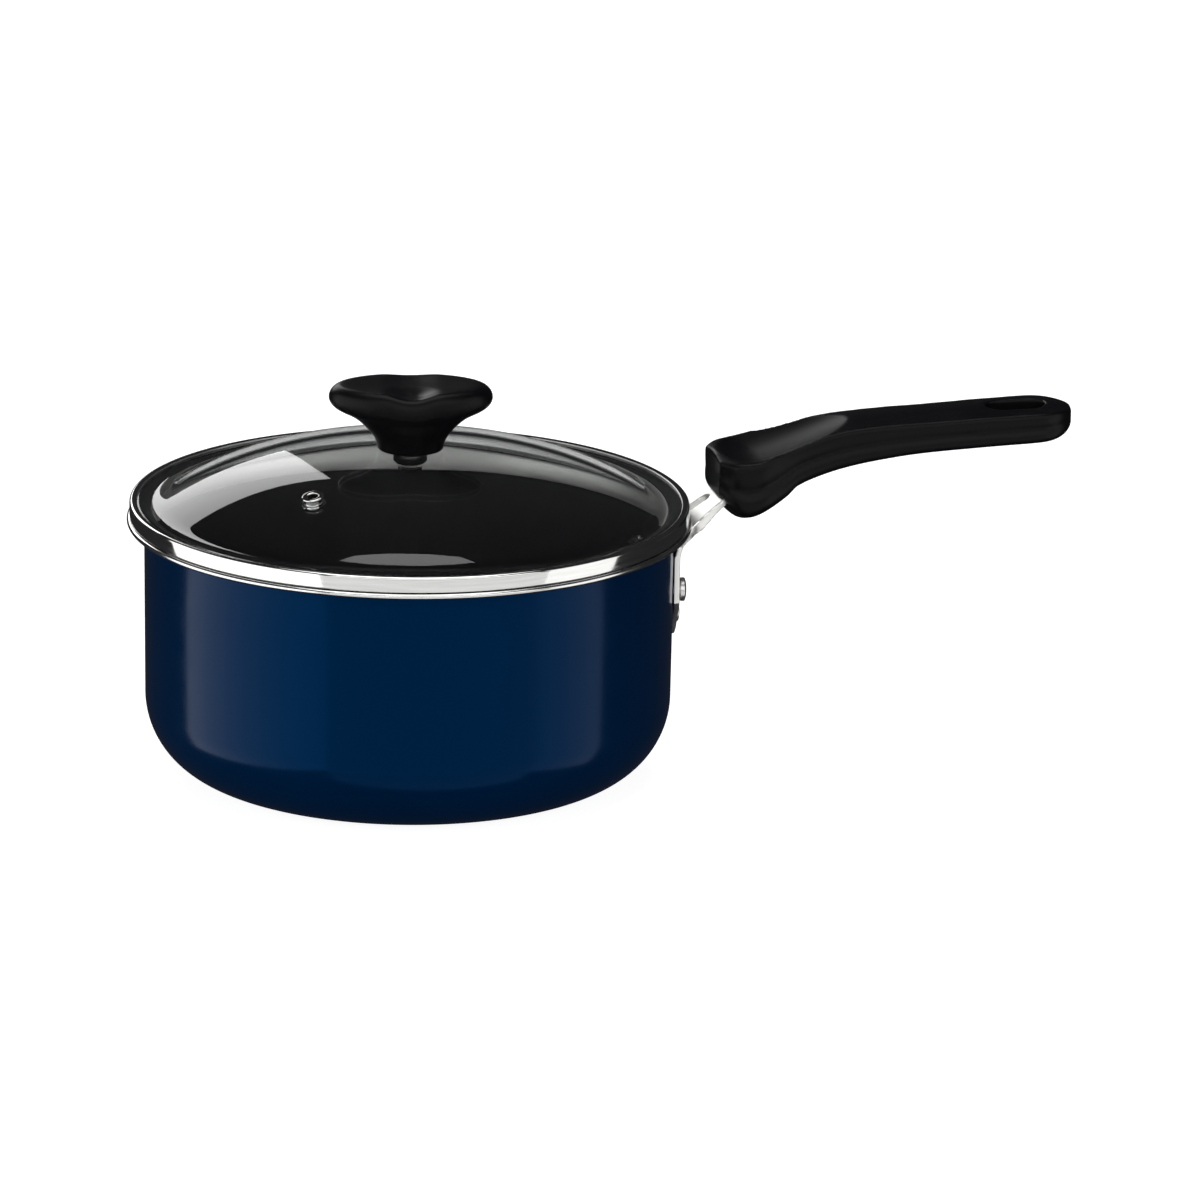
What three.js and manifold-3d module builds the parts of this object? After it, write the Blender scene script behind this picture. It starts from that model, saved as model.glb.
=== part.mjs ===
// A saucepan with a long handle and a domed glass lid, in millimetres, +Z up.
// The origin is the centre of the base's underside, and the handle points along +X.
import * as THREE from "three";
import { mergeVertices } from "three/addons/utils/BufferGeometryUtils.js";
import Module from "manifold-3d";

const wasm = await Module();
wasm.setup();

// Gaps between pieces
const touchGap = 0.3; // between two pieces that press on each other
const snugGap = 0.15; // between the rolled band, the sealing strip and the glass
const boreGap = 0.4; // round a shank in its hole, on the radius

// Pan
const panInnerRadius = 90; // at the mouth
const panHeight = 90.3; // base to the top of the rim
const wallThickness = 1.5;
const baseThickness = 2.5;
const wallTaper = 0.01; // loss of radius per mm down the wall
const cornerWidth = 27;
const cornerHeight = 28;
const rimReach = 6.1; // rim beyond the wall
const rimThickness = 2;
const rimBend = 1.5; // outside radius where the wall turns into the rim

// Lid
const bandInset = 0.9; // band edge inside the rim edge
const bandSheet = 0.5;
const bandLip = 2.7; // width of the lip that is rolled over the glass
const bandEdgeRadius = 0.9;
const skirtDepth = 5.8; // below the rim's top
const skirtClearance = 1.3; // between skirt and pan wall
const sealThickness = 0.5;
const sealWidth = 6.5;
const glassThickness = 3.5;
const glassFlange = 8.8; // flat edge of the glass, outside the dome
const domeRise = 18.9; // glass edge to the top of the dome
const domePower = 2.6; // 2 is a parabola; more is flatter on top

// Steam vent
const ventOffset = 54.8; // from the lid's axis
const ventAngle = -129; // degrees, in the lid's own frame
const ventBoreRadius = 2;
const ventTubeWall = 0.6;
const ventFlangeRadius = 3.7;
const ventFlangeThickness = 0.8;
const ventWasherRadius = 4.1;
const ventWasherThickness = 0.8;

// Knob and its fixings
const lidTurn = -10; // degrees, the knob's long axis from the handle's direction
const knobHeight = 23;
const knobHalfLength = 28.3;
const knobHalfDepth = 17;
const knobStemRadius = 11.4;
const knobValleyFront = 2.4; // depth of the finger valley at the knob's near edge
const knobValleyBack = 1.4;
const knobValleyWidth = 9;
const insertRadius = 4.2;
const insertLength = 10;
const knobScrewRadius = 2.5;
const knobScrewHeadRadius = 4.1;
const knobScrewHeadHeight = 2;
const grommetRadius = 5.8;
const grommetThickness = 2.4;
const grommetSleeveWall = 0.9;
const knobWasherRadius = 4.9;
const knobWasherThickness = 0.8;

// Bracket
const bracketThickness = 2;
const footDepth = 45.3; // rim's top to the foot's lower tip
const footHalfWidth = 22;
const footTipHalfWidth = 6.5;
const footLeastHalfWidth = 1.5;
const armSlope = 0.644; // rise per mm of reach
const armDropUnderRim = 0.6; // rim's underside to the arm's top face, at the rim's edge
const armHalfWidthAtRim = 17;
const armHalfWidthAtMouth = 12.5;
const armHalfWidthAtEnd = 10;
const bracketEdgeAtRim = 3.6; // depth of the bent-down edges
const bracketEdgeAtEnd = 2.2;
const bracketSlotLength = 9;
const bracketSlotHalfWidth = 2.2;
const bendSize = 6; // from the corner under the rim to where the arm is straight
const armInside = 25; // from the handle's mouth to the arm's end
const armInsideSlope = 0.3;
const kneeRun = 5; // from the handle's mouth to the arm's second bend

// Rivets
const rivetSpacing = 34; // between the two upper rivets
const rivetUpperDepth = 25.8; // below the rim's top
const rivetLowerDepth = 38.3;
const rivetShankRadius = 2.5;
const rivetHeadRadius = 4.1;
const rivetHeadHeight = 2.2;
const rivetInnerHeadRadius = 4.8;
const rivetInnerHeadHeight = 1.1;

// Handle
const handleMouth = 9.3; // rim edge to the handle's near end
const handleLength = 128;
const handleRise = 30.2; // top of the handle at its far end, above the rim's top
const handleHalfWidth = 14;
const handleTopSquareness = 0.42; // of its section: 1 is an ellipse, 0 a box
const handleBottomSquareness = 0.68;
const thumbRestDepth = 2.4;
const thumbRestLength = 48;
const hangSlotLength = 21;
const hangSlotHalfWidth = 6.2;
const hangSlotInset = 9.5; // slot end to handle end
const handleScrewInset = 12.5; // handle's mouth to the screw, along the arm
const handleScrewRadius = 2.5;
const handleScrewHeadRadius = 4.2;
const handleScrewHeadHeight = 2.2;
const handleWasherThickness = 1.2;
const handleNutSide = 8;
const handleNutThickness = 2;
const screwTipReach = 0.3; // beyond its nut
const seatBelowArm = 2.6; // from the arm's underside to the handle screw's seat

// Facets
const wideFacets = 48;
const knobFacets = 28;
const smallFacets = 16;

// Sizes that follow
const degree = Math.PI / 180;
const wallRadius = (z) =>
  panInnerRadius + wallThickness - wallTaper * (panHeight - z);
const rimRadius = wallRadius(panHeight) + rimReach;
const rimUnderside = panHeight - rimThickness;
const bandRadius = rimRadius - bandInset;
const bandBottom = panHeight + touchGap;
const bandPlateTop = bandBottom + bandSheet;
const sealBottom = bandPlateTop + snugGap;
const sealTop = sealBottom + sealThickness;
const glassBottom = sealTop + snugGap;
const glassEdgeTop = glassBottom + glassThickness;
const sealRadius = bandRadius - bandSheet - snugGap;
const glassRadius = sealRadius - sealThickness - snugGap;
const shoulderRadius = glassRadius - glassFlange;
const domeTop = glassEdgeTop + domeRise;
const skirtRadius = panInnerRadius - skirtClearance;

const domeSlope = (r) =>
  (domePower * domeRise * (r / shoulderRadius) ** (domePower - 1)) / shoulderRadius;
const domeOuter = (r) =>
  r < shoulderRadius ? domeTop - domeRise * (r / shoulderRadius) ** domePower : glassEdgeTop;
const domeInner = (r) =>
  Math.max(
    glassBottom,
    domeOuter(r) - glassThickness * Math.hypot(1, domeSlope(Math.min(r, shoulderRadius))),
  );

// Materials: colour, roughness, metalness
const enamel = [0x00294f, 0.25, 0];
const steel = [0xd8d8da, 0.18, 1];
const satinMetal = [0xe2e1dc, 0.4, 1];
const phenolic = [0x0b0b0d, 0.5, 0];
const rubber = [0x121214, 0.7, 0];
const brass = [0xb08d45, 0.35, 1];
const glass = [0xe6efef, 0.04, 0];

// Closed solid from any three.js geometry, faces turned outwards.
function solidFrom(geometry) {
  const loose = geometry.index ? geometry.toNonIndexed() : geometry;
  const bare = new THREE.BufferGeometry().setAttribute("position", loose.getAttribute("position"));
  const merged = mergeVertices(bare, 1e-3);
  const corners = [];
  for (let i = 0; i < merged.index.count; i += 3) {
    const [a, b, c] = [0, 1, 2].map((k) => merged.index.getX(i + k));
    if (a !== b && b !== c && c !== a) corners.push([a, b, c]);
  }
  const build = (triangles) =>
    new wasm.Manifold(
      new wasm.Mesh({
        numProp: 3,
        vertProperties: merged.attributes.position.array,
        triVerts: new Uint32Array(triangles.flat()),
      }),
    );
  const made = build(corners);
  return made.volume() > 0 ? made : build(corners.map(([a, b, c]) => [a, c, b]));
}

// Named mesh of a solid.
function piece(name, solid, [colour, roughness, metalness]) {
  const faces = solid.getMesh();
  const geometry = new THREE.BufferGeometry();
  geometry.setAttribute("position", new THREE.BufferAttribute(faces.vertProperties, faces.numProp));
  geometry.setIndex(new THREE.BufferAttribute(faces.triVerts, 1));
  geometry.computeVertexNormals();
  const material = new THREE.MeshStandardMaterial({ color: colour, roughness, metalness });
  const mesh = new THREE.Mesh(geometry, material);
  mesh.name = name;
  return mesh;
}

// Points of an arc round (cr, cz), angles in degrees.
function arc(cr, cz, radiusR, radiusZ, from, to, steps) {
  return Array.from({ length: steps + 1 }, (_, i) => {
    const a = (from + ((to - from) * i) / steps) * degree;
    return [cr + radiusR * Math.cos(a), cz + radiusZ * Math.sin(a)];
  });
}

// Solid of revolution about Z from a profile of [radius, height] points.
function revolve(profile, facets, placement = new THREE.Matrix4()) {
  const points = profile.map(([r, z]) => new THREE.Vector2(Math.max(r, 0), z));
  const turned = new THREE.LatheGeometry(points, facets).rotateX(Math.PI / 2);
  return solidFrom(turned.applyMatrix4(placement));
}

// Profile that closes on itself, for a ring.
const closed = (profile) => [...profile, profile[0]];

// Plain rod about Z between two heights.
const rod = (radius, low, high, placement) =>
  revolve([[0, low], [radius, low], [radius, high], [0, high]], smallFacets, placement);

// Washer about Z between two heights.
const washer = (inner, outer, low, high, placement) =>
  revolve(closed([[inner, low], [outer, low], [outer, high], [inner, high]]), smallFacets, placement);

// Shape drawn in X and Y, extruded up from one height to another.
function slab(shape, low, high, placement = new THREE.Matrix4(), curveSegments = 8) {
  const made = new THREE.ExtrudeGeometry(shape, { depth: high - low, bevelEnabled: false, curveSegments });
  return solidFrom(made.translate(0, 0, low).applyMatrix4(placement));
}

// Round-ended slot outline along X.
function slotShape(fromX, toX, halfWidth) {
  const shape = new THREE.Shape();
  shape.absarc(toX - halfWidth, 0, halfWidth, -Math.PI / 2, Math.PI / 2, false);
  shape.absarc(fromX + halfWidth, 0, halfWidth, Math.PI / 2, (3 * Math.PI) / 2, false);
  return shape;
}

// From 0 at a to 1 at b, straight or eased.
const { lerp, clamp } = THREE.MathUtils;
const ramp = (a, b, x) => clamp((x - a) / (b - a), 0, 1);
const ease = (a, b, x) => THREE.MathUtils.smoothstep(x, a, b);

// ---- Pan ----

// The rivets, each on its own angle and height.
const footBottom = panHeight - footDepth;
const rivetUpperHeight = panHeight - rivetUpperDepth;
const rivetLowerHeight = panHeight - rivetLowerDepth;
const rivetAngle = Math.asin(rivetSpacing / 2 / wallRadius(rivetUpperHeight));
const rivets = [
  { name: "rivet_upper_near", angle: -rivetAngle, height: rivetUpperHeight },
  { name: "rivet_upper_far", angle: rivetAngle, height: rivetUpperHeight },
  { name: "rivet_lower", angle: 0, height: rivetLowerHeight },
];

// Frame whose Z axis runs out of the wall at a rivet.
const rivetPlace = ({ angle, height }) =>
  new THREE.Matrix4()
    .makeTranslation(0, 0, height)
    .multiply(new THREE.Matrix4().makeRotationZ(angle))
    .multiply(new THREE.Matrix4().makeRotationY(Math.PI / 2));

function panBody() {
  const bottomRadius = wallRadius(cornerHeight);
  const rimEdge = rimThickness / 2;
  const innerBend = rimBend + wallThickness;
  const outside = [
    [0, 0],
    ...arc(bottomRadius - cornerWidth, cornerHeight, cornerWidth, cornerHeight, -90, 0, 6),
    [wallRadius(rimUnderside - rimBend), rimUnderside - rimBend],
    ...arc(wallRadius(rimUnderside) + rimBend, rimUnderside - rimBend, rimBend, rimBend, 135, 90, 1),
    ...arc(rimRadius - rimEdge, panHeight - rimEdge, rimEdge, rimEdge, -90, 90, 3),
  ];
  const inside = [
    ...arc(panInnerRadius + innerBend, panHeight - innerBend, innerBend, innerBend, 90, 180, 2),
    ...arc(
      bottomRadius - cornerWidth,
      cornerHeight,
      cornerWidth - wallThickness,
      cornerHeight - baseThickness,
      0,
      -90,
      5,
    ),
    [0, baseThickness],
  ];
  const holes = rivets.map((rivet) =>
    rod(
      rivetShankRadius + boreGap,
      panInnerRadius - cornerWidth,
      rimRadius,
      rivetPlace(rivet),
    ),
  );
  return holes.reduce((body, hole) => body.subtract(hole), revolve([...outside, ...inside], wideFacets));
}

function rivet(place) {
  const wall = wallRadius(place.height);
  const innerSeat = wall - wallThickness - 2 * touchGap;
  const outerSeat = wall + bracketThickness + 2 * touchGap;
  const profile = [
    [0, innerSeat - rivetInnerHeadHeight],
    [rivetInnerHeadRadius - 0.5, innerSeat - rivetInnerHeadHeight],
    [rivetInnerHeadRadius, innerSeat - rivetInnerHeadHeight / 2],
    [rivetInnerHeadRadius, innerSeat],
    [rivetShankRadius, innerSeat],
    [rivetShankRadius, outerSeat],
    [rivetHeadRadius, outerSeat],
    ...arc(0, outerSeat + rivetHeadHeight / 2, rivetHeadRadius, rivetHeadHeight / 2, 0, 90, 4),
  ];
  return revolve(profile, smallFacets, rivetPlace(place));
}

// ---- Bracket ----

// The bracket seen from the side, on the face that lies on the wall and then becomes the arm's upper face:
// up the wall, out under the rim, and into the handle.
const sidePoint = (reach, height) => new THREE.Vector2(reach, height);
const mouthReach = rimRadius + handleMouth;
const footReach = wallRadius(rivetUpperHeight) + touchGap;
const armHeight = (reach) => rimUnderside - armDropUnderRim + armSlope * (reach - rimRadius);
const bendStart = sidePoint(footReach, armHeight(footReach) - bendSize);
const bendCorner = sidePoint(footReach, armHeight(footReach));
const bendEnd = sidePoint(footReach + bendSize, armHeight(footReach + bendSize));
const mouthPoint = sidePoint(mouthReach, armHeight(mouthReach));
const knee = sidePoint(mouthReach + kneeRun, armHeight(mouthReach + kneeRun));
const armEnd = sidePoint(mouthReach + armInside, knee.y + armInsideSlope * (armInside - kneeRun));
const kneeEnd = sidePoint(knee.x + kneeRun, knee.y + armInsideSlope * kneeRun);
const bracketPath = new THREE.CurvePath();
bracketPath.add(new THREE.LineCurve(sidePoint(footReach, footBottom), bendStart));
bracketPath.add(new THREE.QuadraticBezierCurve(bendStart, bendCorner, bendEnd));
bracketPath.add(new THREE.LineCurve(bendEnd, mouthPoint));
bracketPath.add(new THREE.QuadraticBezierCurve(mouthPoint, knee, kneeEnd));
bracketPath.add(new THREE.LineCurve(kneeEnd, armEnd));

// Place, direction and normal at a share of the bracket's length.
// The normal points away from the wall, and on the arm it points down.
function alongBracket(share) {
  const at = bracketPath.getPointAt(share);
  const before = bracketPath.getPointAt(Math.max(share - 0.004, 0));
  const direction = bracketPath.getPointAt(Math.min(share + 0.004, 1)).sub(before).normalize();
  return { at, direction, normal: sidePoint(direction.y, -direction.x) };
}

function shareAtReach(reach) {
  let share = 1;
  while (bracketPath.getPointAt(share).x > reach) share -= 0.002;
  return share;
}

function bracketHalfWidth({ x: reach, y: height }) {
  const widest = rivetUpperHeight - rivetHeadRadius;
  const tip = footTipHalfWidth * Math.sqrt(ramp(footBottom, footBottom + footTipHalfWidth, height));
  const shoulders = (footHalfWidth - footTipHalfWidth) * ramp(footBottom, widest, height) ** 3;
  const foot = Math.max(tip + shoulders, footLeastHalfWidth);
  const atRim = lerp(foot, armHalfWidthAtRim, ease(footReach, rimRadius, reach));
  const atMouth = lerp(atRim, armHalfWidthAtMouth, ramp(rimRadius, mouthReach, reach));
  return lerp(atMouth, armHalfWidthAtEnd, ease(mouthReach, armEnd.x, reach));
}

const armShare = (reach) => ease(footReach, footReach + bendSize + bracketThickness, reach);
const edgeDepth = (reach) => lerp(bracketEdgeAtRim, bracketEdgeAtEnd, ramp(rimRadius, mouthReach, reach));

// The strip wraps the pan at its foot and is flat on the arm, where its edges are bent down.
function bracketStrip() {
  const [lengthSteps, widthSteps] = [20, 10];
  const strip = new THREE.BoxGeometry(1, 1, 1, lengthSteps, widthSteps, 1);
  const place = strip.getAttribute("position");
  const flatShare = 1 - 4 / widthSteps;
  for (let i = 0; i < place.count; i++) {
    const { at, normal } = alongBracket(place.getX(i) + 0.5);
    const arm = armShare(at.x);
    const tilt = (arm * Math.PI) / 2;
    const across = Math.abs(place.getY(i) * 2);
    const flat = Math.min(across / flatShare, 1);
    const turned = Math.max(across - flatShare, 0) / (1 - flatShare);
    const sheet = place.getZ(i) > 0 ? bracketThickness : 0;
    const edge = edgeDepth(at.x);
    const half = bracketHalfWidth(at) - sheet * Math.sin(tilt);
    const width = Math.sign(place.getY(i)) * (flat * half + turned * edge * Math.cos(tilt));
    const out = sheet + turned * Math.sin(tilt) * (edge - sheet);
    const reach = at.x + normal.x * out;
    const x = lerp(reach * Math.cos(width / reach), reach, arm);
    const y = lerp(reach * Math.sin(width / reach), width, arm);
    place.setXYZ(i, x, y, at.y + normal.y * out);
  }
  return solidFrom(strip);
}

// Room for the arm inside the handle, as deep as the arm's edges all the way across.
function armSocket() {
  const room = new THREE.BoxGeometry(1, 1, 1, 8, 1, 1);
  const place = room.getAttribute("position");
  const from = shareAtReach(mouthReach - kneeRun);
  for (let i = 0; i < place.count; i++) {
    const far = place.getX(i) + 0.5;
    const { at, direction, normal } = alongBracket(lerp(from, 1, far));
    const out = place.getZ(i) > 0 ? edgeDepth(at.x) + touchGap : -touchGap;
    const past = far === 1 ? touchGap : 0;
    const width = 2 * place.getY(i) * (bracketHalfWidth(at) + touchGap);
    place.setXYZ(
      i,
      at.x + normal.x * out + direction.x * past,
      width,
      at.y + normal.y * out + direction.y * past,
    );
  }
  return solidFrom(room);
}

// Frame on the arm's upper face, X along the arm and Z up out of it.
function armPlace(reach) {
  const { at, direction, normal } = alongBracket(shareAtReach(reach));
  const columns = [
    new THREE.Vector3(direction.x, 0, direction.y),
    new THREE.Vector3(0, 1, 0),
    new THREE.Vector3(-normal.x, 0, -normal.y),
  ];
  return new THREE.Matrix4().makeBasis(...columns).setPosition(at.x, 0, at.y);
}

const screwPlace = armPlace(mouthReach + handleScrewInset);

function bracket() {
  const slot = slotShape(-bracketSlotLength / 2, bracketSlotLength / 2, bracketSlotHalfWidth);
  const slotReach = rimRadius + bracketSlotLength / 2;
  const cuts = rivets.map((place) =>
    rod(rivetShankRadius + boreGap, 0, rimRadius, rivetPlace(place)),
  );
  cuts.push(slab(slot, -2 * bracketThickness, bracketThickness, armPlace(slotReach)));
  cuts.push(rod(handleScrewRadius + boreGap, -2 * bracketThickness, bracketThickness, screwPlace));
  return cuts.reduce((strip, cut) => strip.subtract(cut), bracketStrip());
}

// ---- Handle ----

// Depth of the handle's top and bottom below its highest line, at shares of its length.
const topLine = [
  [0, 12.8], [0.03, 12.5], [0.056, 12.2], [0.082, 11.9], [0.11, 11.2], [0.14, 9.8], [0.175, 8.3],
  [0.24, 6], [0.31, 4.1], [0.37, 3], [0.48, 2], [0.6, 1.5], [0.78, 0.6], [1, 0],
];
const bottomLine = [
  [0, 24.5], [0.03, 28.6], [0.063, 31.2], [0.1, 30.2], [0.178, 25.4], [0.193, 23.6], [0.21, 21.7],
  [0.27, 18.9], [0.34, 16.6], [0.42, 14.8], [0.55, 12.8], [0.75, 11.4], [1, 10],
];

// Half-width as a share of the widest, at shares of its length.
const widthLine = [
  [0, 0.8], [0.02, 1.12], [0.045, 1.31], [0.095, 1.43], [0.125, 1.38], [0.16, 1.25], [0.21, 1.13],
  [0.27, 1.04], [0.34, 0.97], [0.45, 0.93], [0.7, 0.95], [1, 1],
];

// Smooth value through points of [place, value].
function through(points, x) {
  const last = points.length - 1;
  const next = points.findIndex(([place]) => place > x);
  const from = next < 0 ? last - 1 : clamp(next - 1, 0, last - 1);
  const slope = (k) => {
    const [a, b] = [points[Math.max(k - 1, 0)], points[Math.min(k + 1, last)]];
    return (b[1] - a[1]) / (b[0] - a[0]);
  };
  const [[x0, y0], [x1, y1]] = [points[from], points[from + 1]];
  const t = (x - x0) / (x1 - x0);
  const run = x1 - x0;
  return (
    y0 * (1 + 2 * t) * (1 - t) ** 2 +
    slope(from) * run * t * (1 - t) ** 2 +
    y1 * t * t * (3 - 2 * t) +
    slope(from + 1) * run * t * t * (t - 1)
  );
}

const handleTop = panHeight + handleRise;
const handleEnd = mouthReach + handleLength;

function handleBody() {
  const [sides, stations] = [24, 26];
  const body = new THREE.CylinderGeometry(1, 1, 1, sides, stations).rotateZ(-Math.PI / 2);
  const place = body.getAttribute("position");
  for (let i = 0; i < place.count; i++) {
    const even = place.getX(i) + 0.5;
    const share = even - 0.09 * Math.sin(2 * Math.PI * even);
    const reach = mouthReach + share * handleLength;
    const [top, bottom] = [through(topLine, share), through(bottomLine, share)];
    const tip = Math.max(reach - (handleEnd - handleHalfWidth), 0) / handleHalfWidth;
    const round = Math.sqrt(Math.max(1 - tip * tip, 0.02));
    const wide = handleHalfWidth * through(widthLine, share) * round;
    const deep = ((bottom - top) / 2) * lerp(0.45, 1, Math.sqrt(round));
    const radius = Math.hypot(place.getY(i), place.getZ(i));
    const angle = Math.atan2(place.getY(i), place.getZ(i));
    const power = place.getZ(i) > 0 ? handleTopSquareness : handleBottomSquareness;
    const corner = (value) => radius * Math.sign(value) * Math.abs(value) ** power;
    const y = wide * corner(Math.cos(angle));
    const up = corner(Math.sin(angle));
    const scoop = thumbRestDepth * (1 - ease(0.3, 1, (reach - mouthReach) / thumbRestLength));
    const hollow = Math.max(up, 0) * scoop * (1 - (y / wide) ** 2);
    place.setXYZ(i, reach, y, handleTop - (top + bottom) / 2 + up * deep - hollow);
  }
  return solidFrom(body);
}

// Levels along the handle screw, up from the arm's upper face.
const armUnderside = -bracketThickness;
const screwSeat = armUnderside - seatBelowArm;
const screwHeadTop = screwSeat - 2 * touchGap - handleWasherThickness;
const nutBottom = touchGap;
const nutTop = nutBottom + handleNutThickness;
const screwTop = nutTop + screwTipReach;

function handleGrip() {
  const slotEnd = handleEnd - hangSlotInset;
  const slot = slotShape(slotEnd - hangSlotLength, slotEnd, hangSlotHalfWidth);
  const nutPocket = new THREE.BoxGeometry(
    handleNutSide + 2 * touchGap,
    handleNutSide + 2 * touchGap,
    nutTop + 2 * touchGap,
  ).translate(0, 0, nutTop / 2);
  const cuts = [
    slab(slot, rimUnderside, handleTop + handleRise),
    armSocket(),
    solidFrom(nutPocket.applyMatrix4(screwPlace)),
    rod(handleScrewRadius + boreGap, -handleRise, screwTop + touchGap, screwPlace),
    rod(handleScrewHeadRadius + boreGap, -handleRise, screwSeat, screwPlace),
  ];
  return cuts.reduce((grip, cut) => grip.subtract(cut), handleBody());
}

// Round-headed screw along Z: the head is below, and its cross recess is cut in its face.
function screw({ radius, headRadius, headHeight, headTop, tip, placement }) {
  const domed = arc(0, headTop - headHeight / 3, headRadius, (headHeight * 2) / 3, -90, 0, 4);
  const shank = [[radius, headTop], [radius, tip - 0.5], [radius - 0.5, tip], [0, tip]];
  const profile = [...domed, [headRadius, headTop], ...shank];
  const blade = new THREE.BoxGeometry(headRadius, headRadius / 5, headHeight)
    .translate(0, 0, headTop - headHeight);
  const cross = [0, Math.PI / 2].map((turn) =>
    solidFrom(blade.clone().rotateZ(turn).applyMatrix4(placement)),
  );
  return cross.reduce((made, cut) => made.subtract(cut), revolve(profile, smallFacets, placement));
}

const handleScrew = () =>
  screw({
    radius: handleScrewRadius,
    headRadius: handleScrewHeadRadius,
    headHeight: handleScrewHeadHeight,
    headTop: screwHeadTop,
    tip: screwTop,
    placement: screwPlace,
  });

const handleWasher = () =>
  washer(
    handleScrewRadius + boreGap,
    handleScrewHeadRadius,
    screwHeadTop + touchGap,
    screwSeat - touchGap,
    screwPlace,
  );

function handleNut() {
  const block = new THREE.BoxGeometry(handleNutSide, handleNutSide, handleNutThickness)
    .translate(0, 0, (nutBottom + nutTop) / 2)
    .applyMatrix4(screwPlace);
  return solidFrom(block).subtract(
    rod(handleScrewRadius + snugGap, 0, nutTop + touchGap, screwPlace),
  );
}

// ---- Lid ----

// Frame on top of the glass at the vent, Z out along the dome's normal.
const ventTilt = Math.atan(domeSlope(ventOffset));
const ventPlace = new THREE.Matrix4()
  .makeRotationZ(ventAngle * degree)
  .multiply(new THREE.Matrix4().makeTranslation(ventOffset, 0, domeOuter(ventOffset)))
  .multiply(new THREE.Matrix4().makeRotationY(ventTilt));
const ventTubeRadius = ventBoreRadius + ventTubeWall;
const sleeveRadius = knobScrewRadius + boreGap + grommetSleeveWall;

function lidGlass() {
  const hole = sleeveRadius + touchGap;
  const domeSteps = 7;
  const radii = Array.from(
    { length: domeSteps + 1 },
    (_, i) => lerp(hole, shoulderRadius, Math.sqrt(i / domeSteps)),
  );
  const top = [...radii.map((r) => [r, domeOuter(r)]), [glassRadius - 0.5, glassEdgeTop]];
  const edge = [
    [glassRadius, glassEdgeTop - 0.5],
    [glassRadius, glassBottom + 0.5],
    [glassRadius - 0.5, glassBottom],
  ];
  const bottom = [...radii].reverse().map((r) => [r, domeInner(r)]);
  const dome = revolve(closed([...top, ...edge, ...bottom]), wideFacets);
  return dome.subtract(
    rod(ventTubeRadius + touchGap, -3 * glassThickness, 3 * glassThickness, ventPlace),
  );
}

function lidBand() {
  const wallInside = bandRadius - bandSheet;
  const lipUnder = glassEdgeTop + snugGap;
  const lipTop = lipUnder + bandSheet;
  const lipRadius = bandRadius - bandLip;
  const skirtBottom = panHeight - skirtDepth;
  const skirtInside = skirtRadius - bandSheet;
  return revolve(
    closed([
      [lipRadius, lipTop],
      [lipRadius, lipUnder],
      [wallInside, lipUnder],
      [wallInside, bandPlateTop],
      [skirtInside + bandSheet, bandPlateTop],
      [skirtInside, bandPlateTop - bandSheet],
      [skirtInside, skirtBottom],
      [skirtRadius, skirtBottom],
      [skirtRadius, bandBottom - bandSheet],
      [skirtRadius + bandSheet, bandBottom],
      [bandRadius - bandSheet, bandBottom],
      [bandRadius, bandBottom + bandSheet],
      ...arc(
        bandRadius - bandEdgeRadius,
        lipTop - bandEdgeRadius,
        bandEdgeRadius,
        bandEdgeRadius,
        0,
        90,
        3,
      ),
    ]),
    wideFacets,
  );
}

function lidSeal() {
  const wall = sealRadius - sealThickness;
  return revolve(
    closed([
      [sealRadius, sealBottom],
      [sealRadius, glassEdgeTop],
      [wall, glassEdgeTop],
      [wall, sealTop],
      [sealRadius - sealWidth, sealTop],
      [sealRadius - sealWidth, sealBottom],
    ]),
    wideFacets,
  );
}

// Levels along the vent, from the glass's upper face.
const ventLift = touchGap + ventFlangeRadius ** 2 / (2 * glassRadius);
const ventUnder = -glassThickness - ventLift;
const ventWasherBottom = ventUnder - ventWasherThickness;

function ventEyelet() {
  const rolled = ventWasherBottom - touchGap;
  const round = ventFlangeThickness / 2;
  return revolve(
    closed([
      [ventBoreRadius, rolled - ventTubeWall],
      [ventTubeRadius + ventTubeWall, rolled - ventTubeWall],
      [ventTubeRadius + ventTubeWall, rolled],
      [ventTubeRadius, rolled],
      [ventTubeRadius, ventLift],
      ...arc(ventFlangeRadius - round, ventLift + round, round, round, -90, 90, 4),
      [ventBoreRadius + round, ventLift + ventFlangeThickness],
      [ventBoreRadius, ventLift + round],
    ]),
    smallFacets,
    ventPlace,
  );
}

const ventWasher = () =>
  washer(ventTubeRadius + snugGap, ventWasherRadius, ventWasherBottom, ventUnder, ventPlace);

// Levels along the lid's axis.
const knobBottom = domeTop + touchGap;
const grommetTop = domeInner(0) - touchGap - (domeInner(0) - domeInner(grommetRadius));
const grommetBottom = grommetTop - grommetThickness;
const knobWasherTop = grommetBottom - touchGap;
const knobWasherBottom = knobWasherTop - knobWasherThickness;
const insertBottom = knobBottom;
const insertTop = insertBottom + insertLength;

// Outline of the knob at shares of its height: the stem in shares of its radius, the head of its half-length.
const stemLine = [[0, 1], [0.06, 0.98], [0.12, 1.02], [0.23, 1.12]];
const headLine = [
  [0.4, 0.575], [0.46, 0.63], [0.55, 0.73], [0.6, 0.83], [0.66, 0.945], [0.81, 1], [0.94, 0.95],
  [1, 0.81], [1, 0.6], [1, 0.35], [1, 0.15], [1, 0],
];

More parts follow.
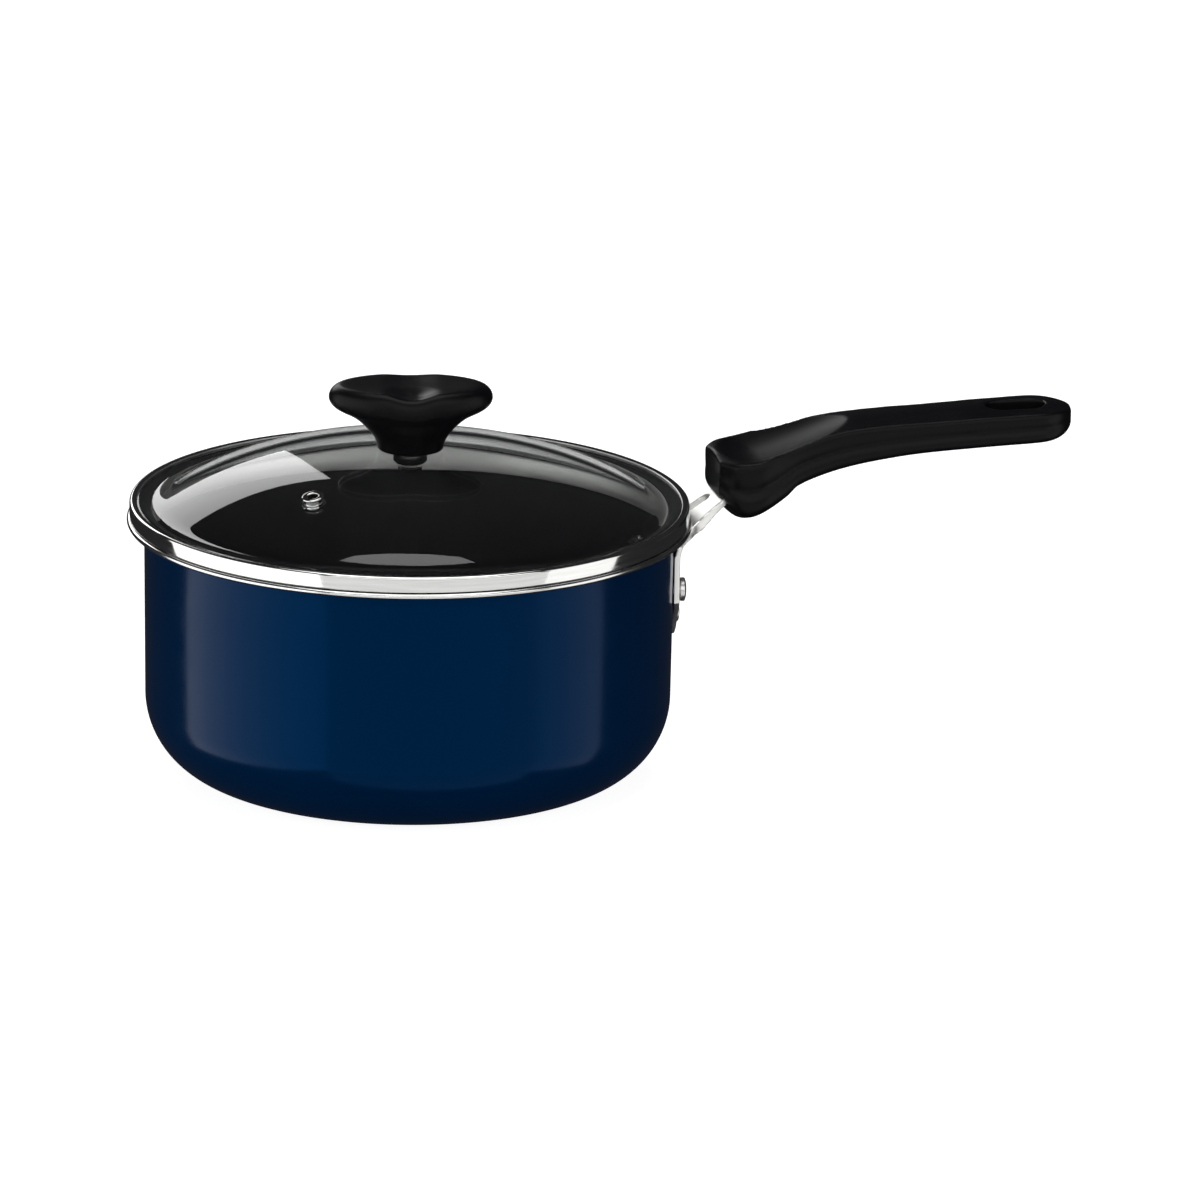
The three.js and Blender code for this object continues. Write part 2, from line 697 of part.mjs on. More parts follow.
function lidKnob() {
  const outline = [
    [0, 0],
    ...stemLine.map(([height, share]) => [share * knobStemRadius, height * knobHeight]),
    ...headLine.map(([height, share]) => [share * knobHalfLength, height * knobHeight]),
  ];
  const points = outline.map(([r, z]) => new THREE.Vector2(r, z));
  const turned = new THREE.LatheGeometry(points, knobFacets);
  turned.rotateX(Math.PI / 2);
  const place = turned.getAttribute("position");
  for (let i = 0; i < place.count; i++) {
    const [x, y, z] = [place.getX(i), place.getY(i), place.getZ(i)];
    const head = ease(0.2, 0.75, z / knobHeight);
    const across = y * lerp(1, knobHalfDepth / knobHalfLength, head);
    const depth = lerp(knobValleyFront, knobValleyBack, ramp(-knobHalfDepth, knobHalfDepth, across));
    const dip = depth * Math.exp(-((x / knobValleyWidth) ** 2)) * ease(0.75, 0.95, z / knobHeight);
    place.setXYZ(i, x, across, z - dip);
  }
  return solidFrom(turned.translate(0, 0, knobBottom)).subtract(
    rod(insertRadius + touchGap, knobBottom - touchGap, insertTop + touchGap),
  );
}

const screwReach = insertTop - 1.5;

const knobInsert = () =>
  revolve(
    [
      [0, insertTop],
      [0, screwReach + touchGap],
      [knobScrewRadius + snugGap, screwReach + touchGap],
      [knobScrewRadius + snugGap, insertBottom],
      [insertRadius, insertBottom],
      [insertRadius, insertTop],
      [0, insertTop],
    ],
    smallFacets,
  );

function knobGrommet() {
  const bore = knobScrewRadius + boreGap;
  return revolve(
    closed([
      [bore, grommetBottom],
      [grommetRadius, grommetBottom],
      [grommetRadius, grommetTop],
      [sleeveRadius, grommetTop],
      [sleeveRadius, domeTop - touchGap],
      [bore, domeTop - touchGap],
    ]),
    smallFacets,
  );
}

const knobWasher = () =>
  washer(knobScrewRadius + boreGap, knobWasherRadius, knobWasherBottom, knobWasherTop);

const knobScrew = () =>
  screw({
    radius: knobScrewRadius,
    headRadius: knobScrewHeadRadius,
    headHeight: knobScrewHeadHeight,
    headTop: knobWasherBottom - touchGap,
    tip: screwReach,
    placement: new THREE.Matrix4(),
  });

// ---- Assembly ----

const pan = new THREE.Group();
pan.add(piece("pan_body", panBody(), enamel));
pan.add(piece("handle_bracket", bracket(), satinMetal));
rivets.forEach((place) => pan.add(piece(place.name, rivet(place), satinMetal)));
pan.add(piece("handle_grip", handleGrip(), phenolic));
pan.add(piece("handle_screw", handleScrew(), steel));
pan.add(piece("handle_washer", handleWasher(), steel));
pan.add(piece("handle_nut", handleNut(), steel));

const lid = new THREE.Group();
lid.rotation.z = lidTurn * degree;
lid.add(piece("lid_glass", lidGlass(), glass));
lid.add(piece("lid_band", lidBand(), steel));
lid.add(piece("lid_seal", lidSeal(), rubber));
lid.add(piece("vent_eyelet", ventEyelet(), steel));
lid.add(piece("vent_washer", ventWasher(), steel));
lid.add(piece("lid_knob", lidKnob(), phenolic));
lid.add(piece("knob_insert", knobInsert(), brass));
lid.add(piece("knob_grommet", knobGrommet(), rubber));
lid.add(piece("knob_washer", knobWasher(), steel));
lid.add(piece("knob_screw", knobScrew(), steel));

const saucepan = new THREE.Group();
saucepan.add(pan, lid);
export default saucepan;
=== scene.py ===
# A blue enamelled saucepan with a long black handle and a domed glass lid, set up for a studio picture.
# Lengths in the dictionaries are in millimetres, and angles in degrees.
import math

import bpy
from mathutils import Matrix, Vector


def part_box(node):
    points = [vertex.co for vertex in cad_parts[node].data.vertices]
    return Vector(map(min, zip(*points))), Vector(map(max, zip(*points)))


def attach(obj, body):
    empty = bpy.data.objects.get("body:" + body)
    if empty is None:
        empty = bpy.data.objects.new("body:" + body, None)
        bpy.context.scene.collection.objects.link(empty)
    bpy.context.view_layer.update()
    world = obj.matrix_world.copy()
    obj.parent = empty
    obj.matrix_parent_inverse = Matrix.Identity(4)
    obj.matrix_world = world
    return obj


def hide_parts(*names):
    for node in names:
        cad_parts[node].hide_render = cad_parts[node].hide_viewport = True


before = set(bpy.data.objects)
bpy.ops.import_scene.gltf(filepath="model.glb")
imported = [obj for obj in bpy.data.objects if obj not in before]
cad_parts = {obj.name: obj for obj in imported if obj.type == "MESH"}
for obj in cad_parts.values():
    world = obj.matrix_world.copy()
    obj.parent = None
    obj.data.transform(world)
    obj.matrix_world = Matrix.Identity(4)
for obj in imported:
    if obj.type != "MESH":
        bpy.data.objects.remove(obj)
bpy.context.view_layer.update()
print("frame loaded:", len(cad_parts), "nodes")

mm = 0.001


def deselectAll():
    if bpy.context.object and bpy.context.object.mode != "OBJECT":
        bpy.ops.object.mode_set(mode="OBJECT")
    bpy.ops.object.select_all(action="DESELECT")


def pick(piece):
    deselectAll()
    bpy.context.view_layer.objects.active = piece
    piece.select_set(True)


def editVertices(piece, chosen=None):  # edit mode with the chosen vertices selected, or all of them
    pick(piece)
    for group in (piece.data.vertices, piece.data.edges, piece.data.polygons):
        group.foreach_set("select", [False] * len(group))
    for vertex in piece.data.vertices:
        vertex.select = chosen is None or chosen(vertex.index, vertex.co / mm)
    bpy.ops.object.mode_set(mode="EDIT")
    bpy.ops.mesh.select_mode(type="VERT")


def settle(piece):  # puts the piece's place into its mesh
    pick(piece)
    bpy.ops.object.transform_apply(location=True, rotation=True, scale=True)


def modify(piece, kind, **values):
    pick(piece)
    modifier = piece.modifiers.new(kind, kind)
    for key, value in values.items():
        setattr(modifier, key, value)
    bpy.ops.object.modifier_apply(modifier=modifier.name)


def cutWith(piece, *cutters):
    for cutter in cutters:
        modify(piece, "BOOLEAN", operation="DIFFERENCE", object=cutter, solver="EXACT")
        bpy.data.objects.remove(cutter)


def copyOf(node, name):  # a merged copy of a CAD node's mesh
    pick(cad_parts[node])
    piece = bpy.data.objects.new(name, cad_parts[node].data.copy())
    bpy.context.scene.collection.objects.link(piece)
    piece.data.materials.clear()
    editVertices(piece)
    bpy.ops.mesh.remove_doubles(threshold=0.001 * mm)
    deselectAll()
    return piece


def bend(across, up, wide, high, start, end, steps):  # points of an arc round (across, up)
    angles = [math.radians(start + (end - start) * i / steps) for i in range(steps + 1)]
    return [(across + wide * math.cos(a), up + high * math.sin(a)) for a in angles]


def pole():  # draws the selected ring together in a point
    bpy.ops.mesh.extrude_region_move(TRANSFORM_OT_translate={"value": (0, 0, 0)})
    bpy.ops.mesh.merge(type="CENTER")


# Rings pulled up one from the last through (radius, height) points.
# A hollow one joins its last ring to its first.
def turned(name, outline, facets=160, hollow=False):
    deselectAll()
    radius, height = outline[0]
    bpy.ops.mesh.primitive_circle_add(vertices=facets, radius=radius * mm, location=(0, 0, height * mm))
    piece = bpy.context.object
    piece.name = name
    settle(piece)
    editVertices(piece)
    for nextRadius, nextHeight in outline[1:]:
        rise = (0, 0, (nextHeight - height) * mm)
        bpy.ops.mesh.extrude_region_move(TRANSFORM_OT_translate={"value": rise})
        grow = nextRadius / radius
        bpy.ops.transform.resize(value=(grow, grow, 1), center_override=(0, 0, nextHeight * mm))
        radius, height = nextRadius, nextHeight
    if hollow:
        lastRing = (len(outline) - 1) * facets
        editVertices(piece, lambda i, at: i < facets or i >= lastRing)
        bpy.ops.mesh.bridge_edge_loops()
    else:
        pole()
        editVertices(piece, lambda i, at: i < facets)
        pole()
    bpy.ops.mesh.select_all(action="SELECT")
    bpy.ops.mesh.normals_make_consistent(inside=False)
    deselectAll()
    return piece


def rod(name, radius, low, high, facets=48):
    return turned(name, [(radius, low), (radius, high)], facets)


# Turns a piece that was made about Z so that Z points along an axis, and moves it to a point.
def stand(piece, point, axis=(0, 0, 1)):
    turn = Vector(axis).to_track_quat("Z", "Y").to_matrix().to_4x4()
    piece.matrix_world = Matrix.Translation(point) @ turn
    settle(piece)
    return piece


def paint(piece, *materials, choose=None):  # choose gives the number of a face's material from its place
    for material in materials:
        piece.data.materials.append(material)
    if choose:
        for face in piece.data.polygons:
            face.material_index = choose(face.center / mm, face.normal)


def dress(piece, body, nodes, smooth=35):
    pick(piece)
    bpy.ops.object.shade_smooth_by_angle(angle=math.radians(smooth))
    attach(piece, body)
    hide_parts(*nodes)


def middle(node):
    low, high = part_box(node)
    return (low + high) / 2


# A material whose shader has these fixed values, and the nodes to add detail to it.
def newMaterial(name, **values):
    material = bpy.data.materials.new(name)
    material.use_nodes = True
    shader = material.node_tree.nodes["Principled BSDF"]
    for socket, value in values.items():
        shader.inputs[socket.replace("_", " ")].default_value = value
    return material, material.node_tree, shader


def objectPlace(tree, stretch=(1, 1, 1)):
    place = tree.nodes.new("ShaderNodeTexCoord")
    mapping = tree.nodes.new("ShaderNodeMapping")
    mapping.inputs["Scale"].default_value = stretch
    tree.links.new(place.outputs["Object"], mapping.inputs["Vector"])
    return mapping.outputs["Vector"]


def noise(tree, place, scale, detail=3, kind="ShaderNodeTexNoise"):
    made = tree.nodes.new(kind)
    made.inputs["Scale"].default_value = scale
    if "Detail" in made.inputs:
        made.inputs["Detail"].default_value = detail
    tree.links.new(place, made.inputs["Vector"])
    return made


def ramp(tree, value, stops):  # stops are (place, colour or grey)
    made = tree.nodes.new("ShaderNodeValToRGB")
    tree.links.new(value, made.inputs["Fac"])
    elements = made.color_ramp.elements
    while len(elements) < len(stops):
        elements.new(0.5)
    for element, (place, colour) in zip(elements, stops):
        element.position = place
        element.color = (*colour, 1) if isinstance(colour, tuple) else (colour, colour, colour, 1)
    return made.outputs["Color"]


def bump(tree, shader, height, strength, depth):
    made = tree.nodes.new("ShaderNodeBump")
    made.inputs["Strength"].default_value = strength
    made.inputs["Distance"].default_value = depth * mm
    tree.links.new(height, made.inputs["Height"])
    tree.links.new(made.outputs["Normal"], shader.inputs["Normal"])


enamelLook = {
    "colour": (0.0, 0.0115, 0.043),
    "darker": (0.0, 0.0105, 0.039),
    "glint": (0.0, 0.31, 1, 1),
    "roughness": (0.12, 0.18),
    "rippleScale": 260,  # per metre
    "rippleDepth": 0.02,
}


def enamelMaterial():
    look = enamelLook
    material, tree, shader = newMaterial(
        "blueEnamel", Specular_Tint=look["glint"], IOR=1.5, Specular_IOR_Level=0.25
    )
    place = objectPlace(tree)
    clouds = noise(tree, place, 22)
    tint = ramp(tree, clouds.outputs["Fac"], [(0.3, look["darker"]), (0.7, look["colour"])])
    tree.links.new(tint, shader.inputs["Base Color"])
    wear = noise(tree, place, 90, 5)
    dull = ramp(tree, wear.outputs["Fac"], [(0.25, look["roughness"][0]), (0.75, look["roughness"][1])])
    tree.links.new(dull, shader.inputs["Roughness"])
    ripple = noise(tree, place, look["rippleScale"], 2)
    bump(tree, shader, ripple.outputs["Fac"], 0.25, look["rippleDepth"])
    return material


nonStickLook = {
    "colour": (0.0055, 0.0052, 0.007),
    "fleck": (0.4, 0.39, 0.42),
    "fleckScale": 1000,  # per metre
    "fleckSize": 0.27,
    "roughness": 0.42,
}


def nonStickMaterial():
    look = nonStickLook
    material, tree, shader = newMaterial("nonStickCoating", Roughness=look["roughness"], IOR=1.45)
    place = objectPlace(tree)
    cells = noise(tree, place, look["fleckScale"], kind="ShaderNodeTexVoronoi")
    size = look["fleckSize"]
    spot = ramp(tree, cells.outputs["Distance"], [(size * 0.6, 1.0), (size, 0.0)])
    pickSome = ramp(tree, cells.outputs["Color"], [(0.35, 0.0), (0.9, 1.0)])
    both = tree.nodes.new("ShaderNodeMath")
    both.operation = "MULTIPLY"
    tree.links.new(spot, both.inputs[0])
    tree.links.new(pickSome, both.inputs[1])
    tint = ramp(tree, both.outputs["Value"], [(0.0, look["colour"]), (1.0, look["fleck"])])
    tree.links.new(tint, shader.inputs["Base Color"])
    grain = noise(tree, place, 900, 4)
    bump(tree, shader, grain.outputs["Fac"], 0.6, 0.05)
    return material


def metalMaterial(name, colour, roughness, stretch, scale, depth):
    material, tree, shader = newMaterial(name, Metallic=1.0)
    place = objectPlace(tree, stretch)
    streaks = noise(tree, place, scale, 5)
    darker = tuple(c * 0.9 for c in colour)
    tint = ramp(tree, streaks.outputs["Fac"], [(0.3, darker), (0.7, colour)])
    tree.links.new(tint, shader.inputs["Base Color"])
    dull = ramp(tree, streaks.outputs["Fac"], [(0.3, roughness[0]), (0.7, roughness[1])])
    tree.links.new(dull, shader.inputs["Roughness"])
    bump(tree, shader, streaks.outputs["Fac"], 0.3, depth)
    return material


def mouldedMaterial(name, colour, roughness, grainScale, grainDepth):
    material, tree, shader = newMaterial(name, IOR=1.45, Specular_IOR_Level=0.15)
    place = objectPlace(tree)
    clouds = noise(tree, place, 60, 4)
    darker = tuple(c * 0.8 for c in colour)
    tint = ramp(tree, clouds.outputs["Fac"], [(0.3, darker), (0.7, colour)])
    tree.links.new(tint, shader.inputs["Base Color"])
    dull = ramp(tree, clouds.outputs["Fac"], [(0.25, roughness[0]), (0.75, roughness[1])])
    tree.links.new(dull, shader.inputs["Roughness"])
    grain = noise(tree, place, grainScale, 3)
    bump(tree, shader, grain.outputs["Fac"], 0.35, grainDepth)
    return material


def glassMaterial():
    material, tree, shader = newMaterial(
        "clearGlass", Transmission_Weight=1.0, IOR=1.5, Base_Color=(0.97, 0.985, 0.98, 1)
    )
    place = objectPlace(tree)
    film = noise(tree, place, 35, 4)
    dull = ramp(tree, film.outputs["Fac"], [(0.45, 0.0), (0.8, 0.02)])
    tree.links.new(dull, shader.inputs["Roughness"])
    return material


blueEnamel = enamelMaterial()
nonStick = nonStickMaterial()
polishedSteel = metalMaterial("polishedSteel", (0.86, 0.86, 0.84), (0.05, 0.12), (1, 1, 14), 60, 0.004)
satinSteel = metalMaterial("satinSteel", (0.78, 0.78, 0.76), (0.32, 0.42), (1, 1, 10), 90, 0.006)
rimSteel = metalMaterial("rimSteel", (0.84, 0.84, 0.83), (0.1, 0.2), (1, 1, 10), 90, 0.006)
satinAluminium = metalMaterial("satinAluminium", (0.9, 0.895, 0.87), (0.34, 0.46), (1, 9, 1), 160, 0.02)
rivetAluminium = metalMaterial("rivetAluminium", (0.8, 0.79, 0.79), (0.24, 0.36), (1, 1, 1), 700, 0.02)
turnedBrass = metalMaterial("turnedBrass", (0.6, 0.42, 0.16), (0.25, 0.4), (1, 1, 12), 200, 0.01)
blackPhenolic = mouldedMaterial("blackPhenolic", (0.003, 0.003, 0.0038), (0.3, 0.38), 1400, 0.012)
blackRubber = mouldedMaterial("blackRubber", (0.01, 0.01, 0.011), (0.55, 0.7), 900, 0.03)
clearGlass = glassMaterial()
print("materials made")


panShell = {
    "mouthRadius": 90,
    "wall": 1.5,
    "floor": 2.5,
    "taper": 0.01,
    "cornerWidth": 27,
    "cornerHeight": 28,
    "rimThickness": 2,
    "bendRadius": 1.5,
    "lipRadius": 3,  # where the inside turns out onto the rim
    "ringPitch": 6,  # shallow rings in the underside
    "ringWidth": 2.2,
    "ringDepth": 0.25,
}
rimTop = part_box("pan_body")[1].z / mm
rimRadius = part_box("pan_body")[1].x / mm


def wallAt(height):  # outside radius of the wall
    return panShell["mouthRadius"] + panShell["wall"] - panShell["taper"] * (rimTop - height)


def makePan():
    size = panShell
    underRim = rimTop - size["rimThickness"]
    bottom = wallAt(size["cornerHeight"]) - size["cornerWidth"]
    edge = size["rimThickness"] / 2
    outline = []
    ringStart = size["ringPitch"]
    while ringStart + size["ringPitch"] < bottom:
        outline += [(ringStart, 0), (ringStart + 0.3, size["ringDepth"])]
        outline += [(ringStart + size["ringWidth"] - 0.3, size["ringDepth"]), (ringStart + size["ringWidth"], 0)]
        ringStart += size["ringPitch"]
    outline += bend(bottom, size["cornerHeight"], size["cornerWidth"], size["cornerHeight"], -90, 0, 28)
    turn = size["bendRadius"]
    for share in (0.25, 0.5, 0.75):
        height = size["cornerHeight"] + share * (underRim - turn - size["cornerHeight"])
        outline.append((wallAt(height), height))
    outline += bend(wallAt(underRim) + turn, underRim - turn, turn, turn, 180, 90, 8)
    outline += bend(rimRadius - edge, rimTop - edge, edge, edge, -90, 90, 12)
    lip = size["lipRadius"]
    outline += bend(size["mouthRadius"] + lip, rimTop - lip, lip, lip, 90, 180, 8)
    inside = bend(
        bottom,
        size["cornerHeight"],
        size["cornerWidth"] - size["wall"],
        size["cornerHeight"] - size["floor"],
        0,
        -90,
        28,
    )
    outline += inside + [(bottom * share, size["floor"]) for share in (0.75, 0.5, 0.25, 0.05)]
    piece = turned("pan_shell", outline, 192)
    wallMiddle = wallAt(underRim) - size["wall"] / 2

    def coat(at, facing):
        radius = math.hypot(at.x, at.y)
        if at.z > underRim - 0.1 or (radius > wallMiddle + 1 and at.z > underRim - turn * 0.5):
            return 2 if at.z > rimTop - lip * 0.8 or radius > wallMiddle else 1
        inward = facing.x * at.x + facing.y * at.y < 0 if at.z > size["cornerHeight"] else facing.z > 0
        return 1 if inward else 0

    paint(piece, blueEnamel, nonStick, rimSteel, choose=coat)
    dress(piece, "pan", ["pan_body"])


makePan()
print("pan made")


bracketFinish = {"grain": 0.45, "smoothing": 6}


def makeBracket():
    piece = copyOf("handle_bracket", "bracket_plate")
    modify(piece, "REMESH", mode="VOXEL", voxel_size=bracketFinish["grain"] * mm)
    modify(piece, "SMOOTH", factor=0.5, iterations=bracketFinish["smoothing"])
    paint(piece, satinAluminium)
    dress(piece, "pan", ["handle_bracket"])


rivetShape = {
    "shank": 2.5,
    "head": 4.1,
    "headHeight": 2.2,
    "innerHead": 4.8,
    "innerHeight": 1.1,
    "edge": 0.35,
    "plate": 2,  # of the bracket
    "innerGap": 0.3,
    "outerGap": 0.45,
}


def makeRivet(node):
    size = rivetShape
    low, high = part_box(node)
    centre = (low + high) / 2
    out = Vector((centre.x, centre.y, 0)).normalized()
    if abs(centre.y) < 1 * mm:
        out = Vector((1, 0, 0))
    wall = wallAt(centre.z / mm)
    innerSeat = wall - panShell["wall"] - size["innerGap"]
    outerSeat = wall + size["plate"] + size["outerGap"]
    edge = size["edge"]
    innerFace = innerSeat - size["innerHeight"]
    outline = [(0.6, innerFace), (size["innerHead"] - 1.2, innerFace + 0.1)]
    outline += bend(size["innerHead"] - edge, innerFace + 0.15 + edge, edge, edge, -90, 0, 5)
    outline += [(size["innerHead"], innerSeat), (size["shank"], innerSeat), (size["shank"], outerSeat)]
    outline += [(size["head"] - 0.2, outerSeat), (size["head"], outerSeat + 0.2)]
    outline += bend(size["head"] - 0.5, outerSeat + 1.2, 0.5, 0.5, 0, 75, 6)
    outline += bend(0, outerSeat + 1.6, size["head"] - 0.6, size["headHeight"] - 1.6, 30, 86, 8)
    piece = turned(node + "_head", outline, 64)
    stand(piece, (0, 0, centre.z), out)
    paint(piece, rivetAluminium)
    dress(piece, "pan", [node])


for rivetNode in ("rivet_upper_near", "rivet_upper_far", "rivet_lower"):
    makeRivet(rivetNode)
makeBracket()
print("bracket and rivets made")


# Depth of the top and bottom below the highest line, and half-width, at shares of the handle's length.
gripShape = {
    "top": [
        (0, 12.8), (0.03, 12.5), (0.056, 12.2), (0.082, 11.9), (0.11, 11.2), (0.14, 9.8), (0.175, 8.3),
        (0.24, 6), (0.31, 4.1), (0.37, 3), (0.48, 2), (0.6, 1.5), (0.78, 0.6), (1, 0),
    ],
    "bottom": [
        (0, 24.5), (0.03, 28.6), (0.063, 31.2), (0.1, 30.2), (0.178, 25.4), (0.193, 23.6), (0.21, 21.7),
        (0.27, 18.9), (0.34, 16.6), (0.42, 14.8), (0.55, 12.8), (0.75, 11.4), (0.92, 10.4), (0.97, 9), (1, 6.8),
    ],
    "width": [
        (0, 0.8), (0.02, 1.12), (0.045, 1.31), (0.095, 1.43), (0.125, 1.38), (0.16, 1.25), (0.21, 1.13),
        (0.27, 1.04), (0.34, 0.97), (0.45, 0.93), (0.7, 0.95), (1, 1),
    ],
    "halfWidth": 14,
    "stations": 46,
    "sideCuts": 15,  # points along each of the section's sides
    "topRoundness": 0.4,  # of the section: 1 is an ellipse, 0 a box
    "bottomRoundness": 0.7,
    "grain": 0.5,
    "smoothing": 20,
}
gripLow, gripHigh = [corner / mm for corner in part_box("handle_grip")]
gripLength = gripHigh.x - gripLow.x


def through(points, x):  # smooth value through (place, value) points
    last = len(points) - 1
    start = max(sum(place <= x for place, value in points[:-1]) - 1, 0)

    def slope(k):
        (x0, y0), (x1, y1) = points[max(k - 1, 0)], points[min(k + 1, last)]
        return (y1 - y0) / (x1 - x0)

    (x0, y0), (x1, y1) = points[start], points[start + 1]
    run = x1 - x0
    t = (x - x0) / run
    return (
        y0 * (1 + 2 * t) * (1 - t) ** 2
        + slope(start) * run * t * (1 - t) ** 2
        + y1 * t * t * (3 - 2 * t)
        + slope(start + 1) * run * t * t * (t - 1)
    )


def gripSection(share):  # middle height, half-width and half-depth at a share of the length
    top, bottom = through(gripShape["top"], share), through(gripShape["bottom"], share)
    widest = gripShape["halfWidth"]
    tip = max(share * gripLength - (gripLength - widest), 0) / widest
    rounding = math.sqrt(max(1 - tip * tip, 0.0004))
    wide = widest * through(gripShape["width"], share) * rounding
    deep = (bottom - top) / 2 * (0.45 + 0.55 * math.sqrt(rounding))
    return gripHigh.z - (top + bottom) / 2, wide, deep


def gripRing():  # a square drawn out towards a circle, one across each way, standing across the handle
    deselectAll()
    bpy.ops.mesh.primitive_plane_add(size=2, rotation=(0, math.pi / 2, 0))
    piece = bpy.context.object
    piece.name = "handle_moulding"
    settle(piece)
    editVertices(piece)
    bpy.ops.mesh.subdivide(number_cuts=gripShape["sideCuts"])
    bpy.ops.mesh.region_to_loop()
    bpy.ops.mesh.select_mode(type="VERT")
    bpy.ops.mesh.select_all(action="INVERT")
    bpy.ops.mesh.delete(type="VERT")
    for top in (True, False):
        editVertices(piece, lambda i, at: (at.z > 1) == top)
        bpy.ops.transform.tosphere(value=gripShape["topRoundness" if top else "bottomRoundness"])
    deselectAll()
    upper, lower = [
        max(vertex.co.y for vertex in piece.data.vertices if (vertex.co.z > mm) == top) for top in (True, False)
    ]
    editVertices(piece, lambda i, at: at.z < 1)
    bpy.ops.transform.resize(value=(1, upper / lower, 1), center_override=(0, 0, 0))
    deselectAll()
    return piece, max(vertex.co.y for vertex in piece.data.vertices) / mm


def gripBlank():
    piece, reachOut = gripRing()
    ring = len(piece.data.vertices)
    editVertices(piece)
    reach, level, wide, deep = 0, 0, reachOut, reachOut
    for i in range(gripShape["stations"] + 1):
        even = i / gripShape["stations"]
        share = min(even - 0.1 * math.sin(2 * math.pi * even), 1)
        nextLevel, nextWide, nextDeep = gripSection(share)
        nextReach = gripLow.x + share * gripLength
        step = ((nextReach - reach) * mm, 0, (nextLevel - level) * mm)
        if i:
            bpy.ops.mesh.extrude_region_move(TRANSFORM_OT_translate={"value": step})
        else:
            bpy.ops.transform.translate(value=step)
        centre = (nextReach * mm, 0, nextLevel * mm)
        bpy.ops.transform.resize(value=(1, nextWide / wide, nextDeep / deep), center_override=centre)
        reach, level, wide, deep = nextReach, nextLevel, nextWide, nextDeep
    pole()
    editVertices(piece, lambda i, at: i < ring)
    pole()
    bpy.ops.mesh.select_all(action="SELECT")
    bpy.ops.mesh.normals_make_consistent(inside=False)
    deselectAll()
    return piece


gripCuts = {
    "scoopAt": 13.5,  # from the mouth to its widest
    "scoopFloor": 13.6,  # its lowest, below the highest line
    "scoopFront": 13,
    "scoopBack": 50,
    "scoopHalfWidth": 23,
    "scoopHeight": 9,
    "scoopSlope": 0.3,
    "slotLength": 21,
    "slotHalfWidth": 6.2,
    "slotInset": 9.5,
    "armRoom": 0.35,
    "armSlope": 0.3,  # of the arm where the screw goes through it
    "shankBore": 2.9,
    "headBore": 4.6,
    "seatRoom": 0.3,
}
screwTilt = Vector((-gripCuts["armSlope"], 0, 1)).normalized()


def slotCutter(length, halfWidth, low, high, at):
    deselectAll()
    bpy.ops.mesh.primitive_cube_add(size=1, location=(at * mm, 0, (low + high) / 2 * mm))
    cutter = bpy.context.object
    cutter.scale = (length * mm, 2 * halfWidth * mm, (high - low) * mm)
    settle(cutter)
    for edge in cutter.data.edges:
        ends = [cutter.data.vertices[i].co for i in edge.vertices]
        edge.select = abs(ends[0].z - ends[1].z) > mm
    for group in (cutter.data.vertices, cutter.data.polygons):
        group.foreach_set("select", [False] * len(group))
    bpy.ops.object.mode_set(mode="EDIT")
    bpy.ops.mesh.select_mode(type="EDGE")
    bpy.ops.mesh.bevel(offset=halfWidth * 0.999 * mm, segments=12)
    deselectAll()
    return cutter


def scoopCutter():  # a rounded box, longer behind its middle than in front
    size = gripCuts
    deselectAll()
    bpy.ops.mesh.primitive_cube_add(size=2)
    cutter = bpy.context.object
    editVertices(cutter)
    bpy.ops.mesh.subdivide(number_cuts=20)
    bpy.ops.transform.tosphere(value=0.92)
    deselectAll()
    reach = max(vertex.co.x for vertex in cutter.data.vertices)
    cutter.scale = [size[part] * mm / reach for part in ("scoopFront", "scoopHalfWidth", "scoopHeight")]
    settle(cutter)
    editVertices(cutter, lambda i, at: at.x > 0)
    longer = (size["scoopBack"] / size["scoopFront"], 1, 1)
    bpy.ops.transform.resize(value=longer, center_override=(0, 0, 0))
    deselectAll()
    cutter.rotation_euler.y = -math.atan(size["scoopSlope"])
    height = gripHigh.z - size["scoopFloor"] + size["scoopHeight"]
    cutter.location = ((gripLow.x + size["scoopAt"]) * mm, 0, height * mm)
    settle(cutter)
    return cutter


def makeGrip():
    size = gripCuts
    piece = gripBlank()
    scoop = scoopCutter()
    armRoom = copyOf("handle_bracket", "arm_room")
    modify(armRoom, "REMESH", mode="VOXEL", voxel_size=0.6 * mm)
    modify(armRoom, "DISPLACE", strength=size["armRoom"] * mm, mid_level=0)
    slotMiddle = gripHigh.x - size["slotInset"] - size["slotLength"] / 2
    slot = slotCutter(size["slotLength"], size["slotHalfWidth"], gripLow.z, gripHigh.z + 10, slotMiddle)
    screwAt = middle("handle_washer")
    shank = stand(rod("shank_bore", size["shankBore"], -30, 10), screwAt, screwTilt)
    head = stand(rod("head_bore", size["headBore"], -30, 0.6 + size["seatRoom"]), screwAt, screwTilt)
    cutWith(piece, scoop, slot, armRoom, shank, head)
    modify(piece, "REMESH", mode="VOXEL", voxel_size=gripShape["grain"] * mm)
    modify(piece, "SMOOTH", factor=0.5, iterations=gripShape["smoothing"])
    paint(piece, blackPhenolic)
    dress(piece, "pan", ["handle_grip"], smooth=60)


makeGrip()
print("handle made")


